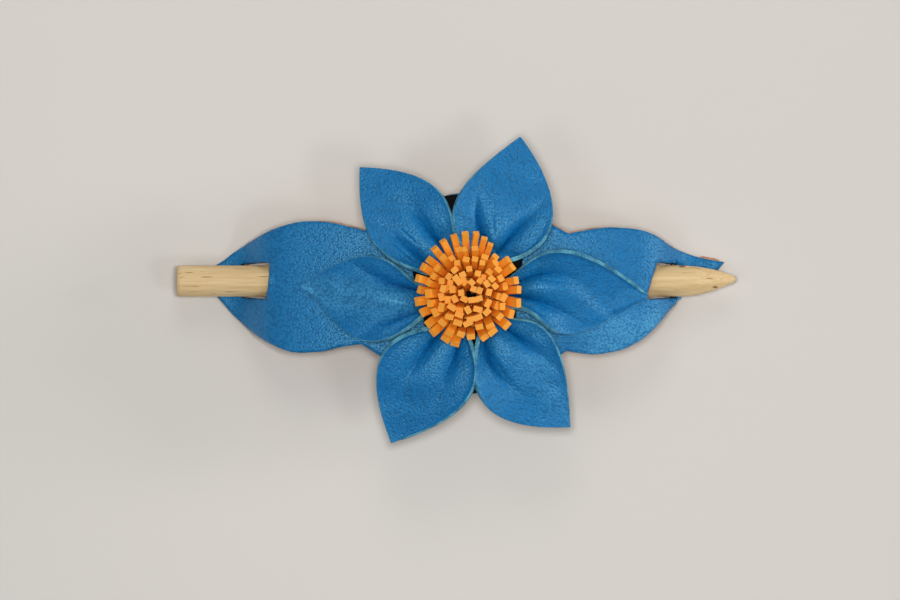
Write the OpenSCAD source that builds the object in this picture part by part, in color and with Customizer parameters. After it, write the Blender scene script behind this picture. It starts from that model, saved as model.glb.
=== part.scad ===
// Leather hair slide with a pinned stick and a six-petal leather flower.
// The long axis and the stick lie along X, the point of the stick towards +X.
// The slide rests on the flat underside of its two tips at z = 0.

/* [Slide] */
// Tip-to-tip length of the leather slide
slide_len = 123.4; // [120:0.2:128]
// Height of the underside in the middle of the arch
arch_h = 15; // [14:0.5:16.5]
// Half length of the flat middle of the arch
flat_half = 20; // [18:0.5:22]
// Thickness of the outer leather
leather_t = 1; // [0.8:0.1:1.1]
// Thickness of the glued lining leather
lining_t = 1.2; // [1:0.1:1.3]
// Steepest slope of the slide, where the holes are, in degrees
end_slope = 60; // [56:1:62]
// Radius of the two bends on each side of a hole
bend_r = 5; // [4.5:0.5:5.5]

/* [Stick] */
// Diameter of the wooden stick
stick_d = 7.5; // [7:0.1:7.6]
// Length of the wooden stick
stick_len = 131.4; // [128:0.2:150]
// Length of the whittled point
point_len = 13; // [9:0.5:20]
// Gap between the stick and the leather all round
stick_gap = 0.3; // [0.25:0.05:0.35]

/* [Flower] */
// Diameter of the round backing under the petals
backing_d = 47; // [44:0.5:47]
// Width of the backing, which has its left and right sides cut straight
backing_w = 29; // [27:1:44]
// Thickness of the backing
backing_t = 1; // [0.8:0.1:1.5]
// Thickness of the petal leather
petal_t = 1.1; // [0.8:0.1:1.2]
// Distance from the middle of the flower to the pinched root of a petal
petal_root = 8.2; // [8.2:0.1:9]
// Height of the pinched folds at the root of a petal
pinch_h = 5; // [3:0.5:6]

/* [Fringe] */
// Radius of the rolled band
roll_r = 7.6; // [6.5:0.1:7.6]
// Height of the uncut part of the roll
roll_h = 7; // [6.5:0.5:8]
// Length of the cut fingers
finger_len = 6.5; // [4:0.5:8]
// Width of a finger
finger_w = 1.6; // [1.2:0.1:1.8]
// Thickness of the rolled leather
finger_t = 1.1; // [0.8:0.1:1.2]
// Lean of the outermost fingers from upright, in degrees
finger_lean = 46; // [30:1:50]

/* [Hidden] */
$fn = 64;

blue = [0.09, 0.35, 0.60];
tan_leather = [0.66, 0.40, 0.22];
black = [0.03, 0.03, 0.04];
orange = [0.93, 0.48, 0.07];
wood = [0.80, 0.64, 0.40];

// Every place below is measured from the middle of the flower until to_row_frame() moves it.
slide_t = leather_t + lining_t;
slide_x = -1.8;      // middle of the slide
stick_y = 2.9;       // axis of the stick
stick_tail_x = -68.9; // blunt end of the stick
tip_play = 0.35;     // gap between the tips and the stick lying over them
stick_z = slide_t + tip_play + stick_d / 2;
past_everything = 90; // longer than anything that it cuts or trims
backing_z = arch_h + slide_t;
petal_z = backing_z + backing_t;

// Each petal: direction in degrees, reach of its tip, the swell of its left and right edges
// near the root and towards the tip, height of its tip, and how far its middle ridge lies
// off the axis as a share of the half width.
PETALS = [
    [131, 39.0, [10.5, 12], [11.2, 13], 17.4, 0.1],
    [72, 38.3, [13.6, 6.8], [19, 14], 17.8, 0.15],
    [-1, 41.8, [17, 8], [8, 14], 16, -0.1],
    [-53, 39.0, [10, 8], [15, 14.2], 17, 0.05],
    [-118, 39.5, [15.5, 10], [7, 18], 16.6, -0.05],
    [176, 39.8, [18, 14], [4.4, 12.6], 16.2, 0]
];
tip_reach_y = [for (p = PETALS) p[1] * sin(p[0])];
row_x = stick_tail_x + stick_len / 2;
row_y = (max(tip_reach_y) + min(tip_reach_y)) / 2;

module to_row_frame() {
    translate([-row_x, -row_y, 0]) children();
}

// A point on a cubic Bezier curve
function bezier(a, b, c, d, t) =
    a * pow(1 - t, 3) + b * 3 * t * pow(1 - t, 2) + c * 3 * t * t * (1 - t) + d * pow(t, 3);

// The points of a chain of Bezier curves, each given as four points
function chain(curves, steps) =
    [for (c = curves, i = [0:steps - 1]) bezier(c[0], c[1], c[2], c[3], i / steps)];

// ---- Slide ----

// The underside of half the arch, from its middle outwards, as [distance, height, slope]:
// a flat, a wide arc down to arch_slope, a bend to end_slope, a straight, a bend back to level, a flat tip.
arch_slope = 21;
arch_r = 64;
arch_run = arch_r * sin(arch_slope);
arch_drop = arch_r * (1 - cos(arch_slope));
bend_drop = bend_r * (cos(arch_slope) - cos(end_slope));
foot_drop = bend_r * (1 - cos(end_slope));
steep_drop = arch_h - arch_drop - bend_drop - foot_drop;
bend_x = flat_half + arch_run;
steep_x = bend_x + bend_r * (sin(end_slope) - sin(arch_slope));
foot_x = steep_x + steep_drop / tan(end_slope);
foot_end_x = foot_x + bend_r * sin(end_slope);
tip_x = slide_len / 2 + 3;
arc_steps = 8;

function half_path() = concat(
    [for (i = [0:arc_steps]) let (a = arch_slope * i / arc_steps)
        [flat_half + arch_r * sin(a), arch_h - arch_r * (1 - cos(a)), a]],
    [for (i = [1:arc_steps]) let (a = arch_slope + (end_slope - arch_slope) * i / arc_steps)
        [bend_x + bend_r * (sin(a) - sin(arch_slope)),
         arch_h - arch_drop - bend_r * (cos(arch_slope) - cos(a)), a]],
    [for (i = [0:arc_steps]) let (a = end_slope * (1 - i / arc_steps))
        [foot_end_x - bend_r * sin(a), bend_r * (1 - cos(a)), a]],
    [[tip_x, 0, 0]]
);

// The same path moved off the underside by a distance, and mirrored to run from tip to tip
function layer_line(off) =
    let (half = [for (p = half_path()) [p[0] + off * sin(p[2]), p[1] + off * cos(p[2])]], n = len(half))
    concat([for (i = [0:n - 1]) [-half[n - 1 - i][0], half[n - 1 - i][1]]], half);

// Outline of the slide seen from above, anticlockwise from the right tip: two leaf-shaped lobes
// and a round middle. Straight shoulders run from the four notches to the round middle.
left_tip = [-slide_len / 2 + slide_x, 4];
right_tip = [slide_len / 2 + slide_x, 7.3];
right_tip_corner = right_tip - [2.3, 2.5];
notch_upper_right = [23.2, 13.8];
notch_upper_left = [-24.6, 14.6];
notch_lower_left = [-25.4, -12];
notch_lower_right = [22.6, -13.4];
middle_r = backing_d / 2;

upper_right_edge = [
    [right_tip, [55, 8], [50, 8.8], [45.5, 12.4]],
    [[45.5, 12.4], [41, 15.6], [33, 16.4], notch_upper_right]
];
left_edges = [
    [notch_upper_left, [-29, 15.6], [-32, 16.8], [-37, 16.8]],
    [[-37, 16.8], [-48, 16.8], [-55.5, 9], left_tip],
    [left_tip, [-58, -2.5], [-50, -13.9], [-39, -13.9]],
    [[-39, -13.9], [-33, -13.9], [-29, -11.8], notch_lower_left]
];
lower_right_edge = [
    [notch_lower_right, [29, -15], [35, -14.4], [40.5, -10.6]],
    [[40.5, -10.6], [46, -7], [49.4, 0.6], right_tip_corner]
];

function turn_of(p) = atan2(p[1], p[0]);
// How far round the middle, seen from its centre, a shoulder from a notch touches it
function shoulder(notch) = acos(middle_r / norm(notch));
function arc(from, to, steps) =
    [for (i = [0:steps]) let (a = from + (to - from) * i / steps) middle_r * [cos(a), sin(a)]];

edge_steps = 8;
arc_points = 12;
module slide_outline() {
    polygon(concat(
        chain(upper_right_edge, edge_steps), [notch_upper_right],
        arc(turn_of(notch_upper_right) + shoulder(notch_upper_right),
            turn_of(notch_upper_left) - shoulder(notch_upper_left), arc_points),
        chain(left_edges, edge_steps), [notch_lower_left],
        arc(turn_of(notch_lower_left) + shoulder(notch_lower_left),
            turn_of(notch_lower_right) - shoulder(notch_lower_right), arc_points),
        chain(lower_right_edge, edge_steps), [right_tip_corner]
    ));
}

// The hole for the stick at one end: a slot punched square to the leather
hole_tilt = 45;
hole_w = stick_d + 2 * stick_gap;
hole_in = [43.6, stick_z + hole_w / 2];
hole_out_left = [52.6, slide_t + tip_play - stick_gap];
hole_out_right = [51, hole_out_left[1]];
function across_hole(p) = p[0] * cos(hole_tilt) - p[1] * sin(hole_tilt);

module hole(hole_out) {
    from = across_hole(hole_in) + hole_w / 2;
    to = across_hole(hole_out) - hole_w / 2;
    rotate([0, hole_tilt, 0])
        linear_extrude(height = past_everything, center = true) {
            translate([from, 0]) circle(d = hole_w);
            translate([to, 0]) circle(d = hole_w);
            translate([from, -hole_w / 2]) square([to - from, hole_w]);
        }
}

module stick_path() {
    rotate([0, 90, 0]) cylinder(d = hole_w, h = 2 * stick_len, center = true);
}

module layer_profile(from, to) {
    top = layer_line(to);
    polygon(concat(layer_line(from), [for (i = [len(top) - 1:-1:0]) top[i]]));
}

// One leather layer between two distances off the underside of the slide
module slide_layer(from, to) {
    difference() {
        intersection() {
            translate([slide_x, 0, 0])
                rotate([90, 0, 0])
                    linear_extrude(height = past_everything, center = true) layer_profile(from, to);
            linear_extrude(height = past_everything, center = true) slide_outline();
        }
        translate([slide_x, stick_y, 0]) hole(hole_out_right);
        translate([slide_x, stick_y, 0]) mirror([1, 0, 0]) hole(hole_out_left);
        translate([0, stick_y, stick_z]) stick_path();
    }
}

module slide_lining() {
    color(tan_leather) to_row_frame() slide_layer(0, lining_t);
}

module slide_leather() {
    color(blue) to_row_frame() slide_layer(lining_t, slide_t);
}

// ---- Flower ----

module flower_backing() {
    color(black) to_row_frame()
        translate([0, 0, backing_z])
        intersection() {
            cylinder(d = backing_d, h = backing_t);
            cube([backing_w, 2 * backing_d, 3 * backing_t], center = true);
        }
}

// Half width of a petal and distance along its axis, at share t from root to tip.
// The root is narrow, the widest place is a little past the middle, and the tip is a square corner.
root_w = 3;
tip_w = 0.15;
function petal_run(reach, t) = petal_root + (reach - petal_root) * bezier(0, 0.25, 0.66, 1, t);
function petal_half(swell, t) = bezier(root_w, swell[0], swell[1], tip_w, t);

// Height of the middle of the petal leather, at share t from root to tip and share v across:
// two valleys beside a middle ridge, raised edges, all fading out towards a drooping tip
root_gap = 0.1;     // gap between the backing and the root
hump_h = 2.2;       // how far the petal bows up between its root and its tip
hump_turn = 110;    // degrees of the sine wave from the root to the tip
hump_loss = 0.4;    // share of the hump that is gone at the tip
ridge_share = 0.9;  // height of the middle ridge, as a share of the raised edges
ridge_end = 0.75;   // where along the petal the ridge runs out
ridge_half = 0.3;   // half width of the ridge, as a share of the petal's half width
tip_drop = 1.2;     // height that the hump would leave at the tip

function fade(t, end, power) = t < end ? pow(1 - t / end, power) : 0;
function hump(t) = hump_h * sin(hump_turn * t) * (1 - hump_loss * t);
function ridge(t, off) = ridge_share * pinch_h * fade(t, ridge_end, 1.6) * exp(-pow(off / ridge_half, 2));
function raised_edge(t, v) = pinch_h * fade(t, 1, 1.4) * pow(abs(v), 2.2);
function petal_height(p, t, v) =
    petal_z + petal_t / 2 + root_gap + hump(t)
    + (p[4] - petal_z - tip_drop) * pow(t, 2.5)
    + ridge(t, v - p[5]) + raised_edge(t, v);

petal_along = 16;
petal_across = 14;
function petal_points(p, off) = [
    for (i = [0:petal_along], j = [0:petal_across])
        let (
            t = i / petal_along,
            v = 2 * j / petal_across - 1,
            half = petal_half(v > 0 ? p[2] : p[3], t)
        )
        [petal_run(p[1], t), v * half, petal_height(p, t, v) + off]
];

row_n = petal_across + 1;
sheet_n = row_n * (petal_along + 1);
// Two triangles for the four corners of a grid cell
function cell(a, b, c, d) = [[a, b, c], [a, c, d]];
function flat_list(lists) = [for (l = lists, x = l) x];

module petal(p) {
    top = [for (i = [0:petal_along - 1], j = [0:petal_across - 1])
        let (a = i * row_n + j) cell(a, a + 1, a + row_n + 1, a + row_n)];
    under = [for (i = [0:petal_along - 1], j = [0:petal_across - 1])
        let (a = sheet_n + i * row_n + j) cell(a, a + row_n, a + row_n + 1, a + 1)];
    sides = [for (i = [0:petal_along - 1])
        let (a = i * row_n, b = a + row_n) cell(a, b, b + sheet_n, a + sheet_n)];
    far_sides = [for (i = [0:petal_along - 1])
        let (a = i * row_n + petal_across, b = a + row_n) cell(a, a + sheet_n, b + sheet_n, b)];
    root = [for (j = [0:petal_across - 1]) cell(j, j + sheet_n, j + 1 + sheet_n, j + 1)];
    tip = [for (j = [0:petal_across - 1])
        let (a = petal_along * row_n + j) cell(a, a + 1, a + 1 + sheet_n, a + sheet_n)];
    color(blue) to_row_frame() rotate([0, 0, p[0]])
        polyhedron(
            points = concat(petal_points(p, petal_t / 2), petal_points(p, -petal_t / 2)),
            faces = flat_list(concat(top, under, sides, far_sides, root, tip))
        );
}

// ---- Fringe ----

// Rings of fingers on the roll, each ring leaning further out than the one inside it
fringe_rings = 5;
ring_step = (roll_r - finger_t / 2) / fringe_rings;
root_depth = 0.8;  // how far the fingers' feet are sunk in the roll
finger_step = 1.3; // distance from finger to finger round a ring, in finger widths
module finger(lean) {
    translate([0, 0, petal_z + roll_h - root_depth])
        rotate([0, lean, 0])
            translate([-finger_t / 2, -finger_w / 2, 0]) cube([finger_t, finger_w, finger_len + root_depth]);
}

module fringe_centre() {
    color(orange) to_row_frame() {
        translate([0, 0, petal_z]) cylinder(r = roll_r, h = roll_h);
        finger(0);
        for (ring = [1:fringe_rings]) {
            r = ring * ring_step;
            count = floor(2 * PI * r / (finger_w * finger_step));
            for (i = [0:count - 1])
                rotate([0, 0, 360 * (i + ring / 2) / count])
                    translate([r - finger_t / 2, 0, 0])
                        finger(finger_lean * ring / fringe_rings);
        }
    }
}

// ---- Stick ----

stick_r = stick_d / 2;
chamfer = 0.4;
// Profile of the whittled point: share of the stick's radius, and share of the point still to come
point_profile = [[1, 1], [0.94, 0.72], [0.72, 0.42], [0.30, 0.10], [0.12, 0]];
module stick() {
    color(wood) to_row_frame()
        translate([stick_tail_x, stick_y, stick_z])
            rotate([0, 90, 0])
                rotate_extrude()
                    polygon(concat(
                        [[0, 0], [stick_r - chamfer, 0], [stick_r, chamfer]],
                        [for (p = point_profile) [stick_r * p[0], stick_len - point_len * p[1]]],
                        [[0, stick_len]]
                    ));
}

slide_lining();
slide_leather();
flower_backing();
petal(PETALS[0]);  // petal_upper_left
petal(PETALS[1]);  // petal_upper_right
petal(PETALS[2]);  // petal_right
petal(PETALS[3]);  // petal_lower_right
petal(PETALS[4]);  // petal_lower_left
petal(PETALS[5]);  // petal_left
fringe_centre();
stick();
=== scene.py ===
import math

import bpy
import numpy as np
from mathutils.geometry import delaunay_2d_cdt
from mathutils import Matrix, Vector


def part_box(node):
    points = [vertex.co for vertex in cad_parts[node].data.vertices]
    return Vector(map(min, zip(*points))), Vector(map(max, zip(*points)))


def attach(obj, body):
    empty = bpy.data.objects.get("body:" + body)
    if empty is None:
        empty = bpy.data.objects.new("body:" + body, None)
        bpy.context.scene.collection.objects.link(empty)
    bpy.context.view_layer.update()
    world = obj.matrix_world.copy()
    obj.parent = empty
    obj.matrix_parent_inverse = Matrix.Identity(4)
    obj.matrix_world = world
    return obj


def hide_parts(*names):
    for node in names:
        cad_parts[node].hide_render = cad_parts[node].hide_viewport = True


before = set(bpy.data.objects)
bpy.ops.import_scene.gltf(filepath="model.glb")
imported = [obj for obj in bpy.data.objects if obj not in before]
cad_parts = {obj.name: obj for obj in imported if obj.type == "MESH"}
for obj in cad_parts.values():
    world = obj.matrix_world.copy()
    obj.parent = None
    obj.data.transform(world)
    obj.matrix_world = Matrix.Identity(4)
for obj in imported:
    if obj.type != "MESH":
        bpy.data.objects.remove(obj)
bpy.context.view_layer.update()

# Lengths in this script are in millimetres. Meshes are turned into metres when they are built.
MM = 0.001
RNG = np.random.default_rng(7)


# ---- The frame ----

def box_mm(node):
    low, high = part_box(node)
    return np.array(low) / MM, np.array(high) / MM


backing_low, backing_high = box_mm("flower_backing")
lining_low, lining_high = box_mm("slide_lining")
leather_low, leather_high = box_mm("slide_leather")
stick_low, stick_high = box_mm("stick")
fringe_low, fringe_high = box_mm("fringe_centre")

flower_x, flower_y = ((backing_low + backing_high) / 2)[:2]
backing_top = backing_high[2]
backing_r = (backing_high[1] - backing_low[1]) / 2
backing_half_w = (backing_high[0] - backing_low[0]) / 2

lining_t = leather_low[2]
leather_t = leather_high[2] - lining_high[2]
slide_t = lining_t + leather_t
arch_h = lining_high[2] - lining_t
slide_x = (lining_low[0] + lining_high[0]) / 2
slide_half = (lining_high[0] - lining_low[0]) / 2

stick_y, stick_z = ((stick_low + stick_high) / 2)[1:]
stick_r = (stick_high[2] - stick_low[2]) / 2
stick_gap = 0.3


# ---- Curves ----

def bezier(a, b, c, d, t):
    return a * (1 - t) ** 3 + 3 * b * t * (1 - t) ** 2 + 3 * c * t ** 2 * (1 - t) + d * t ** 3


def chain(curves, steps):
    """The points of a chain of Bezier curves, each given as four points."""
    share = np.linspace(0, 1, steps, endpoint=False)[:, None]
    return np.vstack([bezier(*(np.array(p, float) for p in curve), share) for curve in curves])


def unit(vectors):
    return vectors / np.maximum(np.linalg.norm(vectors, axis=-1, keepdims=True), 1e-12)


def smooth(edge0, edge1, x):
    t = np.clip((x - edge0) / (edge1 - edge0), 0, 1)
    return t * t * (3 - 2 * t)


def resample(loop, step):
    """The same closed outline with points about step apart, its corners kept roughly."""
    closed = np.vstack([loop, loop[:1]])
    length = np.concatenate([[0], np.cumsum(np.linalg.norm(np.diff(closed, axis=0), axis=1))])
    count = max(12, int(round(length[-1] / step)))
    at = np.linspace(0, length[-1], count, endpoint=False)
    return np.column_stack([np.interp(at, length, closed[:, k]) for k in range(loop.shape[1])])


def waves(x, y, scale, seed):
    """Smooth random hills of height about 1 and the given size, the same on every run."""
    rng = np.random.default_rng(seed)
    total = np.zeros(np.broadcast(x, y).shape)
    for _ in range(7):
        turn, phase = rng.uniform(0, 2 * math.pi, 2)
        size = scale * rng.uniform(0.7, 1.5)
        total += np.sin((x * math.cos(turn) + y * math.sin(turn)) * 2 * math.pi / size + phase)
    return total / 3


# ---- Meshes ----

def new_object(name, data):
    """A scene object that holds a mesh, a lamp or a camera."""
    obj = bpy.data.objects.new(name, data)
    bpy.context.scene.collection.objects.link(obj)
    return obj


def make_object(name, verts_mm, faces, uv, materials, face_material, fields=None):
    """A smooth mesh object from points in mm, with a UV map that holds the flat leather's mm. fields
    are named numbers for each point, which its materials read."""
    mesh = bpy.data.meshes.new(name)
    mesh.from_pydata((np.asarray(verts_mm) * MM).tolist(), [], [tuple(int(i) for i in f) for f in faces])
    mesh.polygons.foreach_set("use_smooth", np.ones(len(faces), bool))
    mesh.polygons.foreach_set("material_index", np.asarray(face_material, np.int32))
    layer = mesh.uv_layers.new(name="flat")
    corners = np.zeros(len(mesh.loops), np.int32)
    mesh.loops.foreach_get("vertex_index", corners)
    layer.data.foreach_set("uv", np.asarray(uv, np.float32)[corners].ravel())
    for field, values in (fields or {}).items():
        mesh.attributes.new(field, "FLOAT", "POINT").data.foreach_set("value", np.asarray(values, np.float32))
    for material in materials:
        mesh.materials.append(material)
    mesh.update()
    return new_object(name, mesh)


def mesh_normals(points, faces):
    tri = np.array([(f[0], f[i], f[i + 1]) for f in faces for i in range(1, len(f) - 1)])
    cross = np.cross(points[tri[:, 1]] - points[tri[:, 0]], points[tri[:, 2]] - points[tri[:, 0]])
    normals = np.zeros_like(points)
    for k in range(3):
        np.add.at(normals, tri[:, k], cross)
    return unit(normals)


# How far a cut edge bulges, and how many rings of points round it off
EDGE_BULGE, EDGE_RINGS = 0.10, 3


def leather(name, middle, faces, loops, thickness, uv, materials, fields=None):
    """Gives a middle surface its thickness, one for all or one for each point. materials are the grain
    side, the back, the outer cut edge and the edge of any holes. loops run round the borders with the
    leather on their left, the outer one first, and each border gets a rounded edge."""
    normals = mesh_normals(middle, faces)
    count = len(middle)
    half_t = np.broadcast_to(thickness, count)[:, None] / 2
    verts = [middle + normals * half_t, middle - normals * half_t]
    source = [np.arange(count), np.arange(count)]
    all_faces = [tuple(f) for f in faces] + [tuple(count + i for i in reversed(f)) for f in faces]
    kinds = [0] * len(faces) + [1] * len(faces)
    start = 2 * count
    for number, loop in enumerate(loops):
        loop = np.asarray(loop)
        edge = middle[loop]
        out = unit(np.cross(np.roll(edge, -1, 0) - np.roll(edge, 1, 0), normals[loop]))
        rings = [loop]
        for k in range(1, EDGE_RINGS + 1):
            turn = math.pi * k / (EDGE_RINGS + 1)
            rings.append(np.arange(start, start + len(loop)))
            off_middle = normals[loop] * half_t[loop] * math.cos(turn)
            verts.append(edge + off_middle + out * EDGE_BULGE * math.sin(turn))
            source.append(loop)
            start += len(loop)
        rings.append(loop + count)
        for upper, lower in zip(rings, rings[1:]):
            for i in range(len(loop)):
                j = (i + 1) % len(loop)
                all_faces.append((upper[i], lower[i], lower[j], upper[j]))
                kinds.append(min(number, 1) + 2)
    source = np.concatenate(source)
    fields = {field: values[source] for field, values in (fields or {}).items()}
    return make_object(name, np.vstack(verts), all_faces, uv[source], materials, kinds, fields)


def inside(points, loop):
    """Which points lie inside a closed outline."""
    x, y = points[:, :1], points[:, 1:2]
    a, b = loop, np.roll(loop, -1, 0)
    crosses = (a[:, 1] > y) != (b[:, 1] > y)
    with np.errstate(divide="ignore", invalid="ignore"):
        at = a[:, 0] + (y - a[:, 1]) * (b[:, 0] - a[:, 0]) / (b[:, 1] - a[:, 1])
    return (np.sum(crosses & (x < at), axis=1) % 2) == 1


# The gap between rows of points and the least gap to the border, as shares of the gap along a row
ROW_GAP, BORDER_GAP = 0.866, 0.6


def fill(outline, holes, step):
    """Triangles that fill an outline with holes. Returns the points, triangles and border loops."""
    loops = [outline] + holes
    low, high = outline.min(0), outline.max(0)
    rows = np.arange(low[1], high[1], step * ROW_GAP)
    columns = np.arange(low[0], high[0], step)
    grid = np.array([(x + (i % 2) * step / 2, y) for i, y in enumerate(rows) for x in columns])
    keep = inside(grid, outline)
    for hole in holes:
        keep &= ~inside(grid, hole)
    grid = grid[keep]
    border = np.vstack(loops)
    near = np.array([np.min(np.sum((border - p) ** 2, axis=1)) for p in grid])
    grid = grid[near > (BORDER_GAP * step) ** 2]
    points = np.vstack([border, grid])
    edges, ids, start = [], [], 0
    for loop in loops:
        n = len(loop)
        ids.append(np.arange(start, start + n))
        edges += [(start + i, start + (i + 1) % n) for i in range(n)]
        start += n
    out = delaunay_2d_cdt([tuple(p) for p in points], edges, [], 0, 1e-7)
    points = np.array([tuple(v) for v in out[0]])
    triangles = np.array(out[2])
    centre = points[triangles].mean(1)
    keep = inside(centre, outline)
    for hole in holes:
        keep &= ~inside(centre, hole)
    return points, triangles[keep], ids


# ---- Materials ----

# Sockets of a colour Mix node: its two inputs and its output
MIX_A, MIX_B, MIX_OUT = 6, 7, 2


class Nodes:
    """Short calls for building a material's node tree."""

    def __init__(self, name):
        self.material = bpy.data.materials.new(name)
        self.material.use_nodes = True
        self.tree = self.material.node_tree
        self.shader = self.tree.nodes["Principled BSDF"]

    def add(self, kind, inputs=None, **settings):
        node = self.tree.nodes.new(kind)
        for key, value in settings.items():
            setattr(node, key, value)
        for key, value in (inputs or {}).items():
            self.put(node.inputs[key], value)
        return node

    def put(self, socket, value):
        if isinstance(value, bpy.types.NodeSocket):
            self.tree.links.new(value, socket)
        else:
            socket.default_value = value

    def set(self, **values):
        """Sets or links the shader's own sockets. A _ in a name stands for a space."""
        for key, value in values.items():
            self.put(self.shader.inputs[key.replace("_", " ")], value)

    def flat(self, scale=(1, 1, 1)):
        """The flat leather's own mm, scaled."""
        uv = self.add("ShaderNodeUVMap", uv_map="flat")
        return self.add("ShaderNodeMapping", {"Vector": uv.outputs["UV"], "Scale": scale}).outputs["Vector"]

    def place(self, scale=(1, 1, 1)):
        """The place in the piece, in mm, scaled."""
        place = self.add("ShaderNodeTexCoord").outputs["Object"]
        size = tuple(s / MM for s in scale)
        return self.add("ShaderNodeMapping", {"Vector": place, "Scale": size}).outputs["Vector"]

    def patch(self, centre, half):
        """About 1 inside a soft-edged ellipsoid in the piece, given in mm, and 0 outside it."""
        place = self.add("ShaderNodeTexCoord").outputs["Object"]
        shift = tuple(-c / h for c, h in zip(centre, half))
        size = tuple(1 / (h * MM) for h in half)
        inputs = {"Vector": place, "Location": shift, "Scale": size}
        away = self.add("ShaderNodeVectorMath", operation="LENGTH")
        self.put(away.inputs[0], self.add("ShaderNodeMapping", inputs).outputs["Vector"])
        return self.ramp(away.outputs["Value"], (0.5, 0.9), (1.0, 0.0))

    def noise(self, vector, scale, detail=2.0, roughness=0.5):
        inputs = {"Vector": vector, "Scale": scale, "Detail": detail, "Roughness": roughness}
        return self.add("ShaderNodeTexNoise", inputs).outputs["Fac"]

    def cells(self, vector, scale, feature="F1"):
        node = self.add("ShaderNodeTexVoronoi", {"Vector": vector, "Scale": scale}, feature=feature)
        return node.outputs["Distance"]

    def ramp(self, value, *stops):
        node = self.add("ShaderNodeValToRGB", {"Fac": value})
        elements = node.color_ramp.elements
        while len(elements) < len(stops):
            elements.new(0.5)
        for element, (at, colour) in zip(elements, stops):
            element.position = at
            element.color = (*colour, 1) if hasattr(colour, "__len__") else (colour, colour, colour, 1)
        return node.outputs["Color"]

    def span(self, value, low, high):
        """value, from 0 to 1, turned into low to high."""
        inputs = {"Value": value, "To Min": low, "To Max": high}
        return self.add("ShaderNodeMapRange", inputs).outputs["Result"]

    def math(self, operation, a, b=0.0):
        node = self.add("ShaderNodeMath", operation=operation)
        self.put(node.inputs[0], a)
        self.put(node.inputs[1], b)
        return node.outputs[0]

    def mix(self, share, a, b):
        node = self.add("ShaderNodeMix", data_type="RGBA")
        self.put(node.inputs["Factor"], share)
        for socket, colour in ((MIX_A, a), (MIX_B, b)):
            linked = isinstance(colour, bpy.types.NodeSocket)
            self.put(node.inputs[socket], colour if linked else (*colour, 1))
        return node.outputs[MIX_OUT]

    def bump(self, height, depth_mm, strength=1.0, below=None):
        inputs = {"Height": height, "Distance": depth_mm * MM, "Strength": strength}
        node = self.add("ShaderNodeBump", inputs)
        if below is not None:
            self.put(node.inputs["Normal"], below)
        return node.outputs["Normal"]


BLUE_DARK, BLUE, BLUE_LIGHT = (0.003, 0.162, 0.46), (0.003, 0.174, 0.49), (0.004, 0.186, 0.52)
# Painted highlight: a lighter blue laid on the grain where the leather should catch the sheen of a lamp
BLUE_PAINTED_SHEEN = (0.07, 0.34, 0.66)
TEAL, TEAL_DARK = (0.16, 0.50, 0.66), (0.02, 0.14, 0.27)
JET, SOOT = (0.001, 0.001, 0.002), (0.005, 0.005, 0.007)
WOOD_DARK, WOOD_MID, WOOD_LIGHT = (0.74, 0.52, 0.25), (0.83, 0.61, 0.32), (0.90, 0.69, 0.40)
WOOD_GRAIN, WOOD_FLECK = (0.55, 0.33, 0.13), (0.33, 0.16, 0.05)
FLOOR_DARK, FLOOR_LIGHT = (0.74, 0.72, 0.69), (0.80, 0.775, 0.74)


def grain_leather(name, folds):
    """Blue full-grain leather with a fine pebble grain, creases where its fold field is high, and a
    painted highlight: a lighter tone on the tops of the grain where its painted_sheen field is high."""
    m = Nodes(name)
    flat = m.flat()
    pebble = m.cells(flat, 2.0)
    fine = m.noise(flat, 5.5, 3)
    broad = m.noise(flat, 0.09, 3)
    colour = m.ramp(broad, (0.3, BLUE_DARK), (0.5, BLUE), (0.72, BLUE_LIGHT))
    pores = m.ramp(pebble, (0.25, 1.0), (0.8, 0.6))
    tinted = m.add("ShaderNodeMix", data_type="RGBA", blend_type="MULTIPLY")
    m.put(tinted.inputs["Factor"], 0.8)
    m.put(tinted.inputs[MIX_A], colour)
    m.put(tinted.inputs[MIX_B], pores)
    # Painted highlight: where the painted_sheen field is high, the tops of the grain turn the lighter blue
    painted_sheen = m.add("ShaderNodeAttribute", attribute_name="painted_sheen").outputs["Fac"]
    tops = m.ramp(pebble, (0.2, 1.0), (0.7, 0.25))
    with_painted_sheen = m.mix(m.math("MULTIPLY", painted_sheen, tops), tinted.outputs[MIX_OUT], BLUE_PAINTED_SHEEN)
    dome = m.math("SUBTRACT", 1.0, m.math("MULTIPLY", pebble, pebble))
    normal = m.bump(dome, 0.10, 0.9)
    normal = m.bump(fine, 0.05, 0.8, normal)
    if folds:
        streaks = m.noise(m.flat((0.22, 1.5, 1)), 1.0, 3, 0.6)
        fold = m.add("ShaderNodeAttribute", attribute_name="fold").outputs["Fac"]
        normal = m.bump(m.math("MULTIPLY", streaks, fold), 0.3, 0.6, normal)
    m.set(Base_Color=with_painted_sheen, Roughness=m.span(fine, 0.30, 0.44), Normal=normal)
    m.set(Specular_IOR_Level=0.85, Specular_Tint=(0.35, 0.85, 1.0, 1))
    return m.material


def fibre_leather(name, dark, light, rough=0.9):
    """The cut edge or flesh side of leather: short fibres, no shine."""
    m = Nodes(name)
    place = m.place()
    fibres = m.noise(place, 3.0, 5, 0.65)
    blotches = m.noise(place, 0.35, 2)
    share = m.ramp(m.math("MULTIPLY", m.math("ADD", fibres, blotches), 0.5), (0.38, 0.0), (0.62, 1.0))
    m.set(Base_Color=m.mix(share, dark, light), Normal=m.bump(fibres, 0.15, 0.8))
    m.set(Roughness=rough, Specular_IOR_Level=0.2)
    return m.material


def fringe_leather(name, dark, light):
    """Orange dyed leather with a fine nap."""
    m = Nodes(name)
    place = m.place()
    fibres = m.noise(place, 2.6, 4, 0.6)
    patches = m.noise(place, 0.25, 2)
    colour = m.mix(m.math("MULTIPLY", m.math("ADD", fibres, patches), 0.5), dark, light)
    m.set(Base_Color=colour, Normal=m.bump(fibres, 0.06, 0.5), Roughness=0.62)
    return m.material


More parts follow.
